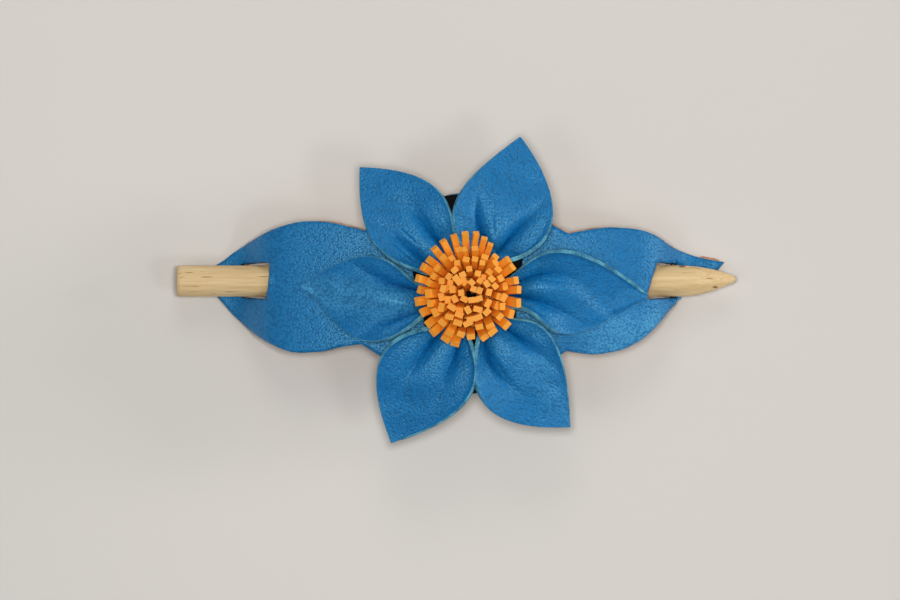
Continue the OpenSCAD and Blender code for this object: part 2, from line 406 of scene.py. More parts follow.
def black_leather():
    """Matt black leather with a faint grain."""
    m = Nodes("black_leather")
    place = m.place()
    grain = m.cells(place, 1.4)
    fine = m.noise(place, 4.0, 3)
    m.set(Base_Color=m.mix(fine, JET, SOOT), Normal=m.bump(grain, 0.05, 0.6))
    m.set(Roughness=0.8, Specular_IOR_Level=0.15)
    return m.material


# Brown marks on the stick: distance from its sawn end (or, if negative, from its point), distance
# to the left of its axis, half length, half width and colour
WOOD_MARKS = [
    (2.9, 1.95, 1.2, 0.14, (0.42, 0.22, 0.08)),
    (7.0, 0.9, 1.8, 0.16, (0.40, 0.20, 0.07)),
    (20.4, 1.0, 1.8, 0.13, (0.42, 0.22, 0.08)),
    (-12.6, 3.5, 1.1, 0.5, (0.20, 0.09, 0.03)),
    (-4.8, -1.5, 0.8, 0.4, (0.30, 0.07, 0.02)),
]


def pale_wood():
    """Whittled pale wood: long grain, brown flecks and a few brown marks."""
    m = Nodes("pale_wood")
    long_grain = m.noise(m.place((0.05, 1.0, 1.0)), 1.3, 5, 0.6)
    fine_grain = m.noise(m.place((0.12, 4.0, 4.0)), 1.2, 4, 0.6)
    flecks = m.noise(m.place((0.16, 1.7, 1.7)), 1.0, 2, 0.5)
    colour = m.ramp(long_grain, (0.3, WOOD_DARK), (0.5, WOOD_MID), (0.7, WOOD_LIGHT))
    colour = m.mix(m.ramp(fine_grain, (0.35, 0.22), (0.6, 0.0)), colour, WOOD_GRAIN)
    colour = m.mix(m.ramp(flecks, (0.66, 0.0), (0.72, 0.7)), colour, WOOD_FLECK)
    for from_end, aside, half_length, half_width, brown in WOOD_MARKS:
        x = from_end + (stick_low[0] if from_end > 0 else stick_high[0])
        centre, half = (x, stick_y + aside, stick_z + stick_r), (half_length, half_width, 3 * stick_r)
        colour = m.mix(m.patch(centre, half), colour, brown)
    m.set(Base_Color=colour, Normal=m.bump(fine_grain, 0.08, 0.6), Roughness=0.68)
    return m.material


BLUE_SMOOTH = grain_leather("blue_leather", folds=False)
BLUE_FOLDED = grain_leather("petal_leather", folds=True)
BLUE_EDGE = fibre_leather("petal_edge", TEAL_DARK, TEAL)
BLUE_BACK = fibre_leather("petal_back", (0.03, 0.16, 0.28), (0.06, 0.28, 0.42))
TAN = fibre_leather("lining_leather", (0.42, 0.19, 0.11), (0.72, 0.40, 0.26), 0.85)
# Painted shade: the cut edges round the holes are near black, standing in for the shade inside the holes
HOLE_EDGE_SHADE = fibre_leather("hole_edge_painted_shade", (0.01, 0.02, 0.03), (0.04, 0.06, 0.08))
BLACK = black_leather()
ORANGE = fringe_leather("orange_leather", (0.95, 0.30, 0.012), (1.0, 0.42, 0.03))
ORANGE_END = fringe_leather("orange_cut_end", (0.96, 0.32, 0.02), (1.0, 0.44, 0.045))
WOOD = pale_wood()


# ---- Slide ----

# The underside of half the arch: a flat, a wide arc, a tight bend down, a straight, a bend back to
# level and a flat tip, as in the CAD model.
flat_half, arch_r, bend_r = 20, 64, 5
arch_slope, end_slope = math.radians(21), math.radians(60)
past_foot = 20
steep_drop = (
    arch_h - arch_r * (1 - math.cos(arch_slope))
    - bend_r * (math.cos(arch_slope) - math.cos(end_slope))
    - bend_r * (1 - math.cos(end_slope))
)


def profile_slopes(step=0.05, soft=3.0):
    """The slope of the underside against the distance along it, from the middle of the arch outwards.
    Real leather bends more gently than the CAD model's arcs meet, so the slopes are smoothed."""
    arc_len = arch_r * arch_slope
    bend_len = bend_r * (end_slope - arch_slope)
    steep_len = steep_drop / math.sin(end_slope)
    foot_len = bend_r * end_slope
    knots = np.cumsum([0, flat_half, arc_len, bend_len, steep_len, foot_len, past_foot])
    along = np.arange(0, knots[-1], step)
    slopes = np.interp(along, knots, [0, 0, arch_slope, end_slope, end_slope, 0, 0])
    reach = np.arange(-3 * soft, 3 * soft + step, step)
    weight = np.exp(-((reach / soft) ** 2) / 2)
    padded = np.pad(slopes, len(reach) // 2, mode="edge")
    slopes = np.convolve(padded, weight / weight.sum(), mode="valid")[:len(along)]
    drop = np.sum(np.sin(slopes)) * step
    return along, slopes * arch_h / drop


ALONG, SLOPE = profile_slopes()
STEP = ALONG[1]
OUT_X = np.concatenate([[0], np.cumsum(np.cos((SLOPE[1:] + SLOPE[:-1]) / 2) * STEP)])
OUT_Z = arch_h - np.concatenate([[0], np.cumsum(np.sin((SLOPE[1:] + SLOPE[:-1]) / 2) * STEP)])
OUT_Z = OUT_Z - OUT_Z[-1] * ALONG / ALONG[-1]


# Hills in the leather: their height and width. The lower edge of the right lobe hangs by SAG times the
# square of its distance below the axis, no further than SAG_WIDTH.
HILLS, HILL_W = 0.12, 26
SAG, SAG_WIDTH = 0.009, 14
STICK_CLEAR = 0.05


def along_at(x, off):
    """How far along the underside, from the middle and with its sign, the point is that has this x and
    lies off above it."""
    reach = OUT_X + off * np.sin(SLOPE)
    return np.sign(x) * np.interp(np.abs(x), reach, ALONG)


def slide_surface(along, y, off):
    """Points of the slide at a distance along its underside and off above it. Inside the holes' inner
    ends the leather rides up over the stick, and past the holes the stick presses it thinner."""
    side, a = np.sign(along), np.abs(along)
    slope = np.interp(a, ALONG, SLOPE)
    out = np.interp(a, ALONG, OUT_X)
    x = slide_x + side * (out + off * np.sin(slope))
    z = np.interp(a, ALONG, OUT_Z)
    z = z + off * np.cos(slope) + HILLS * waves(along, y, HILL_W, 3) * smooth(2, 8, z)
    z = z - SAG * np.clip(-y, 0, SAG_WIDTH) ** 2 * smooth(18, 30, x) * smooth(2, 8, z)
    beside = np.sqrt(np.maximum((stick_r + stick_gap) ** 2 - (y - stick_y) ** 2, 0))
    ride = stick_z + beside + STICK_CLEAR + off * np.cos(slope)
    lifted = np.where(beside > 0, np.maximum(z, ride), z)
    room = np.clip(stick_z - beside - STICK_CLEAR, 0, None) * off / slide_t
    pressed = np.where(beside > 0, np.minimum(z, room), z)
    before_hole = out < HOLE_MID
    return np.column_stack([x, y, np.where(before_hole, lifted, pressed)])


def slide_outline():
    """Outline of the slide from above, from its middle in x and the flower's middle in y."""
    shift = slide_x - flower_x
    left_tip, right_tip = np.array([-slide_half, 4]), np.array([slide_half, 7.3])
    corner = right_tip - [2.3, 2.5]
    upper_right, upper_left = np.array([23.2, 13.8]), np.array([-24.6, 14.6])
    lower_left, lower_right = np.array([-25.4, -12.0]), np.array([22.6, -13.4])

    def at(x, y):
        return [x - shift, y]

    def arc(start, end):
        def touch(notch, side):
            return math.atan2(notch[1], notch[0]) + side * math.acos(backing_r / np.linalg.norm(notch))
        turn = np.linspace(touch(start, 1), touch(end, -1), 60)
        return np.column_stack([backing_r * np.cos(turn) - shift, backing_r * np.sin(turn)])

    upper = chain([
        [right_tip, at(55, 8), at(50, 8.8), at(45.5, 12.4)],
        [at(45.5, 12.4), at(41, 15.6), at(33, 16.4), at(*upper_right)],
    ], 40)
    left = chain([
        [at(*upper_left), at(-29, 15.6), at(-32, 16.8), at(-37, 16.8)],
        [at(-37, 16.8), at(-48, 16.8), at(-55.5, 9), left_tip],
        [left_tip, at(-58, -2.5), at(-50, -13.9), at(-39, -13.9)],
        [at(-39, -13.9), at(-33, -13.9), at(-29, -11.8), at(*lower_left)],
    ], 40)
    lower = chain([
        [at(*lower_right), at(29, -15), at(35, -14.4), at(40.5, -10.6)],
        [at(40.5, -10.6), at(45.4, -7.4), at(48.6, 0.1), corner],
    ], 40)
    return np.vstack([
        upper, [at(*upper_right)], arc(upper_right, upper_left), left, [at(*lower_left)],
        arc(lower_left, lower_right), lower, [corner],
    ])


def grown(loop, by):
    """An anticlockwise outline moved outwards by a distance, one for each point or one for all."""
    side = unit(np.roll(loop, -1, 0) - np.roll(loop, 1, 0))
    return loop + np.column_stack([side[:, 1], -side[:, 0]]) * np.broadcast_to(by, len(loop))[:, None]


def hole_outline(side):
    """A punched hole with small round corners, seen from above: its inner end is cut a little askew."""
    half, corner, wider_inside = stick_r + stick_gap, 0.9, 0.35
    (near_top, near_bottom), far = HOLES[side]
    near_half = half + wider_inside
    corners = [(far, half), (near_top, near_half), (near_bottom, -near_half), (far, -half)]
    points = []
    for k, (x, y) in enumerate(corners):
        turn = np.radians(np.linspace(90 * k, 90 * k + 90, 7))
        centre_x = x + (corner if k in (1, 2) else -corner)
        centre_y = y - corner if y > 0 else y + corner
        points.append(np.column_stack([centre_x + corner * np.cos(turn), centre_y + corner * np.sin(turn)]))
    loop = np.vstack(points) * [side, 1] + [0, stick_y]
    return loop if side > 0 else loop[::-1]


# Each hole's inner end at its upper and lower corner, and its outer end, from the slide's middle
HOLES = {1: ((45.6, 43.3), 50.8), -1: ((45.3, 46.1), 52.4)}
HOLE_MID = 48.5
BORDER_STEP, FILL_STEP = 0.45, 0.8


def slide_layer(name, low, high, materials, proud):
    """One leather of the slide, between two distances off its underside. proud moves its outline out."""
    outline = resample(slide_outline(), BORDER_STEP)
    hand_cut = 0.05 * waves(outline[:, 0], outline[:, 1], 5, 11)
    outline = grown(outline, proud(outline) + hand_cut)
    holes = [resample(hole_outline(side), BORDER_STEP)[::-1] for side in HOLES]
    loops = [outline + [0, flower_y]] + holes
    loops = [np.column_stack([along_at(loop[:, 0], slide_t), loop[:, 1]]) for loop in loops]
    flat, triangles, borders = fill(loops[0], loops[1:], FILL_STEP)
    middle = slide_surface(flat[:, 0], flat[:, 1], (low + high) / 2)
    fields = {"painted_sheen": slide_painted_sheen(middle[:, 0] - flower_x, middle[:, 1] - flower_y)}
    return leather(name, middle, triangles, borders, high - low, flat, materials, fields), flat, triangles


def slide_painted_sheen(x, y):
    """How much painted highlight lightens the slide's grain: along the lower edge of the right lobe, and a
    little towards the left tip."""
    right_edge = smooth(-1, -8, y) * smooth(20, 34, x) * smooth(52, 44, x)
    return right_edge + 0.2 * smooth(-34, -42, x)


def lining_proud(outline):
    """The lining shows as a thin line all round, and by more at the back of the right tip."""
    x, y = outline.T
    tip = smooth(55.6, 57, x) * smooth(61, 59.6, x) * smooth(5.5, 6.5, y)
    beside_flower = smooth(9, 12, y) * smooth(17, 20, np.abs(x)) * smooth(36, 30, np.abs(x))
    return 0.05 + 0.45 * tip + 0.22 * beside_flower


def build_slide():
    tan = [TAN, TAN, TAN, HOLE_EDGE_SHADE]
    lining, flat, triangles = slide_layer("lining_leather", 0, lining_t, tan, lining_proud)
    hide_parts("slide_lining")
    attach(lining, "slide")

    blue = [BLUE_SMOOTH, BLUE_BACK, BLUE_EDGE, HOLE_EDGE_SHADE]
    top, flat, triangles = slide_layer("slide_blue_leather", lining_t, slide_t, blue, lambda outline: 0.0)
    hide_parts("slide_leather")
    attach(top, "slide")


# ---- Flower backing ----

# The backing's left and right sides, from the flower's middle, at BACKING_LOW and at BACKING_UP. It is
# smaller than the CAD solid by BACKING_SMALLER all round and by BACKING_TOP at its top.
BACKING_SIDES = [(4.5 - backing_half_w, -backing_half_w), (backing_half_w - 4.5, backing_half_w - 2)]
BACKING_LOW, BACKING_UP = -10, 10
BACKING_SMALLER, BACKING_TOP = 0.15, 0.5


def build_backing():
    turn = np.linspace(0, 2 * math.pi, 240, endpoint=False)
    edge = backing_r - BACKING_SMALLER + 0.06 * waves(turn * 20, 0 * turn, 9, 5)
    outline = np.column_stack([edge * np.cos(turn), edge * np.sin(turn)])
    left, right = (np.interp(outline[:, 1], [BACKING_LOW, BACKING_UP], sides) for sides in BACKING_SIDES)
    outline[:, 0] = np.clip(outline[:, 0], left, right)
    outline[:, 1] = np.minimum(outline[:, 1], backing_r - BACKING_TOP)
    outline = resample(outline, 0.6)
    flat, triangles, loops = fill(outline, [], 1.0)
    thickness = backing_high[2] - backing_low[2]
    height = np.full(len(flat), (backing_low[2] + backing_high[2]) / 2)
    middle = np.column_stack([flat[:, 0] + flower_x, flat[:, 1] + flower_y, height])
    disc = leather("flower_backing_disc", middle, triangles, loops, thickness, flat, [BLACK] * 3)
    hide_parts("flower_backing")
    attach(disc, "slide")


# ---- Petals ----

# Where a petal starts, as a distance out from the flower's middle, its half widths there and at its
# tip, and its thickness
ROOT, ROOT_W, TIP_W = 8.2, 3.2, 0.08
PETAL_T = 1.05
# Each petal lies along an axis from the flower's middle to its tip. Places along it are distances out
# from the middle, and places across it are distances to its left.
#   left, right   the two handles of each edge's curve: distance out and half width
#   tip           height of the tip
#   curl          degrees by which the left and the right edge turn up: at the root, and far out
#   plus, minus   the two folds: their places across at 12, 18 and 24 out, their depth, their end
#   wrinkles      start and end out, then their places across
#   keel          a long rise: its places across at 12, 18 and 24 out, and its height
#   tilt, sweep   how steeply the petal leans across its axis, and how far its tip swings to the left
#   skived        sides whose edge is pared thin, 1 for left and -1 for right
#   painted_sheen  painted highlight, a lighter grain along a line: its places across at 12, 18 and 24 out,
#                  half width, where it starts, and how strong it is
PETALS = {
    "petal_upper_left": dict(
        left=[(21, 12.4), (27.5, 10.8)], right=[(18, 10), (24, 16)], tip=17.6, curl=((65, 0), (60, 0)),
        plus=(3.2, 4, 4.9, 0.5, 24), minus=(-2.2, -2.5, -2.8, 1.1, 27),
        wrinkles=[(14, 20, -3.4, -3.7), (13, 20, 2.6, 3.3), (14, 21, 5.2, 5.9), (17, 23, 1.6, 2.3)]),
    "petal_upper_right": dict(
        left=[(16.5, 15.2), (27, 8.3)], right=[(20, 26.4), (37, 2.2)], tip=17.9, curl=((60, 5), (100, 0)),
        plus=(0.3, 4, 6, 0.7, 23), minus=(-3.7, -6.2, -9, 0.9, 25),
        wrinkles=[(13, 18, -4.9, -7.2), (13, 19, 1.6, 4.9), (15, 20, -1.2, 0.6)]),
    "petal_right": dict(
        left=[(14.3, 7), (18.2, 18.3)], right=[(22, 2), (13, 19.5)], tip=13.4, curl=((15, 42), (95, 0)),
        tilt=0.2, skived=(-1,), keel=(1, 1.6, -0.2, 0.35),
        plus=(3.1, 4.7, 3.7, 0.8, 27), minus=(-0.7, -2.4, -5.2, 0.9, 25),
        wrinkles=[(13, 20, -1.8, -3.9), (13, 22, 4.2, 5.4), (16, 24, 3.3, 2.6)]),
    "petal_lower_right": dict(
        left=[(13, 2.6), (12.5, 18.6)], right=[(14.5, 10.2), (24, 22.2)], tip=17.4, curl=((30, 12), (105, 0)),
        painted_sheen=(2.5, 2.2, 2, 3.2, 20, 0.5),
        plus=(2, 3.7, 5.2, 0.9, 23), minus=(-4.7, -6.1, -5.3, 0.9, 26),
        wrinkles=[(13, 20, 2.9, 5), (14, 22, -4.2, -4.9), (14, 20, -6.8, -7.2)]),
    "petal_lower_left": dict(
        left=[(15, 11.8), (23, 16.6)], right=[(10.5, -4), (16.5, 27.2)], tip=16.9, curl=((60, 25), (110, 8)),
        plus=(3.3, 4.2, 4.6, 0.8, 23), minus=(-2.3, -3.1, -4, 0.9, 26),
        wrinkles=[(13, 19, 4.3, 5.2), (14, 21, -4.1, -4.7), (13, 18, 2.3, 3)]),
    "petal_left": dict(
        left=[(24.5, 24), (32.5, 3.8)], right=[(15.5, -5.5), (16.5, 19.2)], tip=15.0, curl=((85, 0), (50, 0)),
        skived=(1, -1), keel=(4.1, 2.9, 1.7, 1.5), sweep=1.3, painted_sheen=(4.2, 3.2, 2.4, 4.2, 13, 0.85),
        plus=(5.6, 8, 10.5, 0.7, 25), minus=(0.2, -1.2, -3.6, 1.4, 34),
        wrinkles=[(13, 20, 6.2, 9.4), (14, 22, 1.1, 0.2), (15, 20, 2.3, 2)]),
}
# A fold's three places across are given at FOLD_NEAR and at one and two FOLD_STEPs further out
FOLD_NEAR, FOLD_STEP, FOLD_FAR = 12, 6, 38
# How high the leather stands at the root between the folds and outside them, how far it takes to rise
# there, and how far out it lies flat
RIDGE_H, RIDGE_RUN = 3.7, 1.3
FLANK_H, FLANK_RUN = 3.2, 1.9
FLAT_FROM = 30
# A fold is a groove with a sharp crease in it. Then the wrinkles
GROOVE_DEPTH = 1.5
CREASE_DEPTH, CREASE_W = 0.25, 0.35
WRINKLE_DEPTH, WRINKLE_W = 0.22, 0.3
# A keel's half width, how far the edges cup upwards, and how far the petal arches along its axis
KEEL_W, CUP_H, ARCH_H = 2, 0.9, 2.6
# The turned-up edge: its width, and how far out from the root it has faded
LIP_W, LIP_FADE = 1.9, 17
# The share of its thickness that a skived edge loses, and the petal's gap to the lobe below
SKIVED_AWAY, PETAL_CLEAR = 0.68, 0.05


def petal_tip(node):
    """Direction and reach of a petal's tip from the flower's middle, from its CAD solid."""
    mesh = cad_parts[node].data
    points = np.array([v.co[:] for v in mesh.vertices]) / MM - [flower_x, flower_y, 0]
    tip = points[np.argmax(np.hypot(points[:, 0], points[:, 1]))]
    return math.atan2(tip[1], tip[0]), float(np.hypot(tip[0], tip[1]))


def fold_line(fold, out):
    """A fold's place across: a parabola through its three places, closing in at the root."""
    near, mid, far = fold[:3]
    t = (np.clip(out, ROOT, FOLD_FAR) - FOLD_NEAR) / FOLD_STEP
    line = near + (mid - near) * t + (far - 2 * mid + near) * t * (t - 1) / 2
    return line * np.interp(out, [ROOT, FOLD_NEAR], [0.7, 1])


def trough(distance, width):
    """1 on a line, falling off smoothly to both sides."""
    return np.exp(-((distance / width) ** 2))


def rise(distance, run):
    """0 at a fold and 1 far from it, with a narrow rounded bottom."""
    return 1 - np.exp(-(np.sqrt(distance ** 2 + 0.09) - 0.3) / run)


def petal_field(p, out, w, half_left, half_right, reach):
    """Height of the leather over its resting line, at a distance out and w to the left of the axis."""
    plus, minus = fold_line(p["plus"], out), fold_line(p["minus"], out)
    fade = np.clip(1 - (out - ROOT) / (FLAT_FROM - ROOT), 0, 1)
    groove_w = 0.5 + 0.075 * (out - ROOT)
    ridge = RIDGE_H * fade ** 1.5 * rise(w - minus, RIDGE_RUN) * rise(plus - w, RIDGE_RUN)
    left_flank = FLANK_H * fade ** 1.5 * rise(w - plus, FLANK_RUN)
    right_flank = FLANK_H * fade ** 1.5 * rise(minus - w, FLANK_RUN)
    height = np.where(w > plus, left_flank, np.where(w < minus, right_flank, ridge))
    for line, fold in ((plus, p["plus"]), (minus, p["minus"])):
        depth, end = fold[3:]
        strength = np.clip((end - out) / (end - 13), 0, 1) ** 1.5
        height = height - GROOVE_DEPTH * depth * strength * trough(w - line, groove_w)
        height = height - CREASE_DEPTH * smooth(end - 3, 12, out) * trough(w - line, CREASE_W)
    for start, end, w_start, w_end in p["wrinkles"]:
        share = (out - start) / (end - start)
        line = w_start + (w_end - w_start) * share
        strength = smooth(-0.3, 0.2, share) * smooth(1.1, 0.5, share)
        height = height - WRINKLE_DEPTH * strength * trough(w - line, WRINKLE_W)
    if "keel" in p:
        strength = p["keel"][3] * smooth(ROOT, 14, out) * smooth(reach, reach - 7, out)
        height = height + strength * trough(w - fold_line(p["keel"], out), KEEL_W)
    half = np.where(w > 0, half_left, half_right)
    cup = CUP_H * np.sin(math.pi * np.clip((out - ROOT) / (reach - ROOT), 0, 1)) * (w / half) ** 2
    lean = p.get("tilt", 0) * w * smooth(13, 24, out) * smooth(reach + 1, reach - 4, out)
    return height + cup * smooth(reach, reach - 14, out) + lean


def edge_curve(handles, out, reach):
    """Half width of a petal at the distances out, from the two handles of its edge's curve."""
    (s1, w1), (s2, w2) = handles
    share = np.linspace(0, 1, 400)
    return np.interp(out, bezier(ROOT, s1, s2, reach, share), bezier(ROOT_W, w1, w2, TIP_W, share))


def running_sum(angle, step, part):
    """Adds up steps along each row of the leather, each at its own angle. part is np.cos for the distance
    covered and np.sin for the height gained."""
    steps = part((angle[:, 1:] + angle[:, :-1]) / 2) * step
    return np.hstack([np.zeros((len(angle), 1)), np.cumsum(steps, 1)])


def petal_surface(node, p, rows=170, columns=66):
    """Middle surface of a petal as a grid of points. The cut edges turn up towards the root, so the
    leather is followed outwards from the axis and its flat width comes out wider than it looks."""
    turn, reach = petal_tip(node)
    out = ROOT + (reach - ROOT) * np.linspace(0, 1, rows) ** 0.9
    halves = [edge_curve(p[side], out, reach) for side in ("left", "right")]
    progress = (out - ROOT) / (reach - ROOT)
    root_z = backing_top + PETAL_T / 2 + 0.5
    arched = ARCH_H * np.sin(math.pi * progress ** 0.85)
    lie = root_z + arched + (p["tip"] - root_z) * smooth(0.15, 1, progress)
    curled = np.clip(1 - (out - ROOT) / LIP_FADE, 0, 1)[:, None] ** 1.3
    near_tip = smooth(reach, reach - 2, out)[:, None]
    sides = []
    for sign, half, (root_curl, far_curl) in zip((1, -1), halves, p["curl"]):
        lip = LIP_W * np.minimum(1, half / 3)
        edge_turn = math.radians(1) * (far_curl + (root_curl - far_curl) * curled)
        flat_half = half.copy()
        grid = np.linspace(0, 1, columns + 1)
        for _ in range(5):
            q = flat_half[:, None] * grid
            step = flat_half[:, None] / columns
            turned_up = np.clip((q - (flat_half - lip)[:, None]) / lip[:, None], 0, 1)
            w = np.minimum(q, half[:, None])
            for _ in range(2):
                h = petal_field(p, out[:, None], sign * w, halves[0][:, None], halves[1][:, None], reach)
                slope = np.arctan2(np.gradient(h, axis=1), np.maximum(np.gradient(w, axis=1), 1e-3))
                angle = slope * (1 - 0.6 * turned_up * curled) + edge_turn * turned_up * near_tip
                w = running_sum(angle, step, np.cos)
            flat_half = flat_half + half - w.max(1)
        base = petal_field(p, out, 0 * out, halves[0], halves[1], reach)
        z = running_sum(angle, step, np.sin)
        sides.append((sign * w, z + (lie + base)[:, None], sign * q))
    w, z, q = (np.hstack([right[:, :0:-1], left]) for left, right in zip(*sides))
    s = np.repeat(out[:, None], w.shape[1], 1)
    z = z + 0.10 * waves(s, q, 9, seed_from(node)) * smooth(ROOT, 20, s)
    aside = w + p.get("sweep", 0) * smooth(ROOT, reach, s)
    x = flower_x + s * math.cos(turn) - aside * math.sin(turn)
    y = flower_y + s * math.sin(turn) + aside * math.cos(turn)
    thickness = np.full(x.shape, PETAL_T)
    if "skived" in p:
        half = np.where(w > 0, halves[0][:, None], halves[1][:, None])
        near_edge = sum(smooth(0.6, 1, w * side / half) for side in p["skived"]) * smooth(20, 26, s)
        thickness = PETAL_T * (1 - SKIVED_AWAY * near_edge)
        along = along_at(x - slide_x, slide_t)
        lobe = slide_surface(along.ravel(), y.ravel(), slide_t)[:, 2].reshape(x.shape)
        z = np.maximum(z, lobe + thickness / 2 + PETAL_CLEAR)
    fold = np.clip(1 - (s - ROOT) / LIP_FADE, 0, 1)
    fields = {"fold": fold.ravel(), "painted_sheen": petal_painted_sheen(p, s, w).ravel()}
    return np.stack([x, y, z], -1), np.stack([s, q], -1), fields, thickness


def petal_painted_sheen(p, out, w):
    """How much painted highlight lightens a petal's grain: along one line, from some distance out to the tip.
    """
    if "painted_sheen" not in p:
        return 0 * out
    half, start, most = p["painted_sheen"][3:]
    return most * smooth(start - 3, start + 3, out) * trough(w - fold_line(p["painted_sheen"], out), half)


def seed_from(name):
    return sum(ord(c) for c in name)


def grid_faces(rows, columns):
    """Four-sided faces of a grid of points, and the loop round its border."""
    index = np.arange(rows * columns).reshape(rows, columns)
    a, b, c, d = index[:-1, :-1], index[1:, :-1], index[1:, 1:], index[:-1, 1:]
    faces = np.stack([a, b, c, d], -1).reshape(-1, 4)
    loop = np.concatenate([index[:-1, 0], index[-1, :-1], index[:0:-1, -1], index[0, :0:-1]])
    return faces, loop


def build_petals():
    for node, p in PETALS.items():
        points, flat, fields, thickness = petal_surface(node, p)
        faces, loop = grid_faces(*points.shape[:2])
        middle, flat = points.reshape(-1, 3), flat.reshape(-1, 2)
        materials = [BLUE_FOLDED, BLUE_BACK, BLUE_EDGE]
        piece = leather(node + "_leather", middle, faces, [loop], thickness.ravel(), flat, materials, fields)
        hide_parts(node)
        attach(piece, "slide")


# ---- Fringe ----

def tube_faces(rings, around):
    """Faces of a tube of rings of points. The last two close its near end and its far end."""
    faces = [(i * around + j, i * around + (j + 1) % around,
              (i + 1) * around + (j + 1) % around, (i + 1) * around + j)
             for i in range(rings - 1) for j in range(around)]
    faces.append(tuple(reversed(range(around))))
    faces.append(tuple((rings - 1) * around + j for j in range(around)))
    return faces


def bar(centres, across, through, width, thick, bevel=0.12):
    """Points and faces of a bar with bevelled long edges, which follows centres. across and through are
    the directions of its width and thickness. Its last face is its far end."""
    ring = []
    for sx, sy in ((1, 1), (-1, 1), (-1, -1), (1, -1)):
        corner = [(sx * (width / 2 - bevel), sy * thick / 2), (sx * width / 2, sy * (thick / 2 - bevel))]
        ring += corner if sx * sy < 0 else corner[::-1]
    points = [c + u * a + v * b for c, u, v in zip(centres, across, through) for a, b in ring]
    return points, tube_faces(len(centres), len(ring))


# How far the fringe reaches from the flower's middle in each direction: degrees and mm
FRINGE_REACH = [
    (0, 12.3), (22, 11.7), (45, 11.2), (62, 10.6), (75, 13.4), (90, 13.9), (115, 13.2), (145, 12.8),
    (180, 12.3), (205, 12.8), (235, 13.1), (268, 13.6), (300, 13.1), (330, 12.7), (360, 12.3),
]


def build_fringe():
    """One leather strip, cut into fingers along its top and rolled up. The fingers splay outwards,
    the outer ones most, so each is a short curved bar standing on the rolled band."""
    band_t, pitch = 1.35, 1.42
    inner_r, outer_r = 0.9, 9.0
    band_h, sunk, band_step = 4.0, 0.4, 0.8
    half_finger, finger_len, finger_gap = 0.9, 9.4, 0.03
    usual_splay, below_top, steps = 4.5, 0.5, 9
    middle = np.array([flower_x, flower_y, 0])
    base, tip_top = fringe_low[2], fringe_high[2]
    band_top = base + band_h
    up = np.array([0.0, 0.0, 1.0])
    turn = np.linspace(0, 2 * math.pi * (outer_r - inner_r) / pitch, 4000)
    radius = inner_r + pitch * turn / (2 * math.pi)
    length = np.concatenate([[0], np.cumsum(np.hypot(np.diff(radius), radius[1:] * np.diff(turn)))])
    verts, faces, kinds = [], [], []

    def keep(points, new_faces, end_kind):
        start = len(verts)
        verts.extend(points)
        faces.extend(tuple(start + i for i in face) for face in new_faces)
        kinds.extend([0] * (len(new_faces) - 1) + [end_kind])

    around = np.interp(np.arange(0, length[-1], band_step), length, turn)
    out = np.column_stack([np.cos(around), np.sin(around), 0 * around])
    roll = middle + out * np.interp(around, turn, radius)[:, None] + up * (base + band_top) / 2
    keep(*bar(roll, np.tile(up, (len(around), 1)), out, band_top - base, band_t), 0)

    at = 0.0
    while at < length[-1]:
        t = float(np.interp(at + half_finger, length, turn))
        width = (1.6 + 0.25 * at / length[-1]) * (1 - 0.17 * math.sin(t)) * RNG.uniform(0.85, 1.15)
        r = float(np.interp(at + half_finger, length, radius))
        at += width + finger_gap
        share = r / outer_r
        # The inner fingers point and twist more at random, the outer ones lean out more
        aim = t + RNG.normal(0, 0.04 + 0.30 * (1 - share))
        lean = 2 + 18 * share + 40 * share ** 6 + 14 * math.sin(aim) * share ** 4
        lean = math.radians(lean + RNG.normal(0, 9 - 5 * share))
        finger = finger_len + RNG.normal(0, 0.5)
        outer_turn = outer_r - pitch * ((turn[-1] - t) % (2 * math.pi)) / (2 * math.pi)
        wanted = np.interp(math.degrees(aim) % 360, *zip(*FRINGE_REACH))
        stretch = 1 + (wanted / (outer_turn + usual_splay) - 1) * share
        twist = RNG.normal(0, 0.12 + 0.5 * (1 - share))
        radial = np.array([math.cos(aim), math.sin(aim), 0])
        sideways = np.array([-math.sin(aim), math.cos(aim), 0])
        centre = np.array([r * math.cos(t), r * math.sin(t), band_top - sunk])
        centres, across, through = [], [], []
        for i in range(steps + 1):
            bent = lean * smooth(0, 0.9, i / steps)
            if i:
                centre = centre + (radial * math.sin(bent) + up * math.cos(bent)) * finger / steps
            normal = radial * math.cos(bent) - up * math.sin(bent)
            turned = twist * i / steps
            across.append(sideways * math.cos(turned) + normal * math.sin(turned))
            through.append(normal * math.cos(turned) - sideways * math.sin(turned))
            centres.append(middle + centre * [stretch, stretch, 1])
        over = max(0.0, centres[-1][2] + below_top - tip_top)
        centres = [c - up * over * i / steps for i, c in enumerate(centres)]
        keep(*bar(centres, across, through, width, band_t), 1)

    uv = np.zeros((len(verts), 2))
    piece = make_object("fringe_strip", np.array(verts), faces, uv, [ORANGE, ORANGE_END], kinds)
    piece.data.polygons.foreach_set("use_smooth", np.zeros(len(faces), bool))
    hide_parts("fringe_centre")
    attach(piece, "slide")


# ---- Stick ----

# The whittled point: share of its length and share of the stick's radius
TAPER = [(0, 1), (0.12, 0.985), (0.28, 0.94), (0.58, 0.71), (0.90, 0.33), (0.97, 0.21), (1.0, 0.04)]


